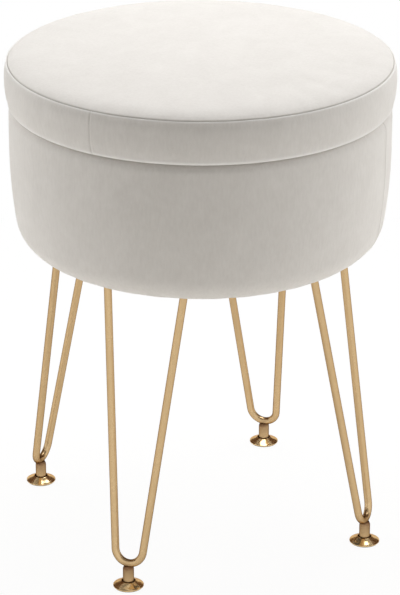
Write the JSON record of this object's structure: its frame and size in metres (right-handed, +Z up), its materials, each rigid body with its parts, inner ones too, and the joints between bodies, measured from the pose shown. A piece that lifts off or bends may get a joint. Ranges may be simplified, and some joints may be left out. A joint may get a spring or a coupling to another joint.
{
  "type": "storage ottoman",
  "caption": "Round upholstered storage stool: velvet drum with a crowned lift-off lid, on leaning hairpin rod legs with levelling feet.",
  "frame": {"origin": "on the floor, under the centre of the drum", "axes": "+Z up; the four legs stand on -Y (front), +X (right), +Y (back) and -X (left)"},
  "size_m": [0.3582, 0.3582, 0.4561],
  "materials": {
    "velvet": "short-pile velvet, off-white, matt with a pale sheen at the edges",
    "foam": "upholstery foam",
    "board": "raw fibreboard",
    "lining": "plain woven lining",
    "dust_cloth": "black spun-bonded cloth",
    "gold": "satin champagne-gold plating",
    "brass": "turned and polished, gold-plated",
    "zinc": "zinc-plated",
    "pad": "matt non-slip rubber"
  },
  "bodies": {
    "drum": {"drum_cover": "velvet", "drum_foam": "foam", "drum_tube": "board", "drum_floor": "board", "drum_lining": "lining", "floor_mat": "lining", "dust_cloth": "dust_cloth", "drum_staples": "zinc", "tube_nails": "zinc", "insert_nuts": "zinc", "leg_screws": "gold", "leg_washers": "zinc", "front_leg_plate": "gold", "front_leg_rod": "gold", "front_foot_socket": "gold", "right_leg_plate": "gold", "right_leg_rod": "gold", "right_foot_socket": "gold", "back_leg_plate": "gold", "back_leg_rod": "gold", "back_foot_socket": "gold", "left_leg_plate": "gold", "left_leg_rod": "gold", "left_foot_socket": "gold"},
    "lid": {"lid_top_panel": "velvet", "lid_band": "velvet", "lid_foam": "foam", "lid_board": "board", "lid_locating_disc": "board", "lid_lining": "lining", "lid_screws": "zinc", "lid_staples": "zinc"},
    "front_pad": {"front_foot_pad": "pad"},
    "front_glide": {"front_foot": "brass"},
    "right_pad": {"right_foot_pad": "pad"},
    "right_glide": {"right_foot": "brass"},
    "back_pad": {"back_foot_pad": "pad"},
    "back_glide": {"back_foot": "brass"},
    "left_pad": {"left_foot_pad": "pad"},
    "left_glide": {"left_foot": "brass"}
  },
  "joints": [
    {"name": "lid_lift", "type": "slide", "parent": "drum", "child": "lid", "axis": [0, 0, 1], "range_m": [0, 0.2]},
    {"name": "front_foot_drop", "type": "slide", "parent": "drum", "child": "front_pad", "axis": [0, 0, -1], "range_m": [0, 0.005]},
    {"name": "front_foot_turn", "type": "hinge", "parent": "front_pad", "child": "front_glide", "pos_m": [0, -0.16529, 0.01], "axis": [0, 0, -1], "range_deg": [0, 1800]},
    {"name": "right_foot_drop", "type": "slide", "parent": "drum", "child": "right_pad", "axis": [0, 0, -1], "range_m": [0, 0.005]},
    {"name": "right_foot_turn", "type": "hinge", "parent": "right_pad", "child": "right_glide", "pos_m": [0.16529, 0, 0.01], "axis": [0, 0, -1], "range_deg": [0, 1800]},
    {"name": "back_foot_drop", "type": "slide", "parent": "drum", "child": "back_pad", "axis": [0, 0, -1], "range_m": [0, 0.005]},
    {"name": "back_foot_turn", "type": "hinge", "parent": "back_pad", "child": "back_glide", "pos_m": [0, 0.16529, 0.01], "axis": [0, 0, -1], "range_deg": [0, 1800]},
    {"name": "left_foot_drop", "type": "slide", "parent": "drum", "child": "left_pad", "axis": [0, 0, -1], "range_m": [0, 0.005]},
    {"name": "left_foot_turn", "type": "hinge", "parent": "left_pad", "child": "left_glide", "pos_m": [-0.16529, 0, 0.01], "axis": [0, 0, -1], "range_deg": [0, 1800]}
  ],
  "couplings": [
    {"joint": "front_foot_drop", "follows": "front_foot_turn", "m_per_rad": 0.00015915},
    {"joint": "right_foot_drop", "follows": "right_foot_turn", "m_per_rad": 0.00015915},
    {"joint": "back_foot_drop", "follows": "back_foot_turn", "m_per_rad": 0.00015915},
    {"joint": "left_foot_drop", "follows": "left_foot_turn", "m_per_rad": 0.00015915}
  ]
}
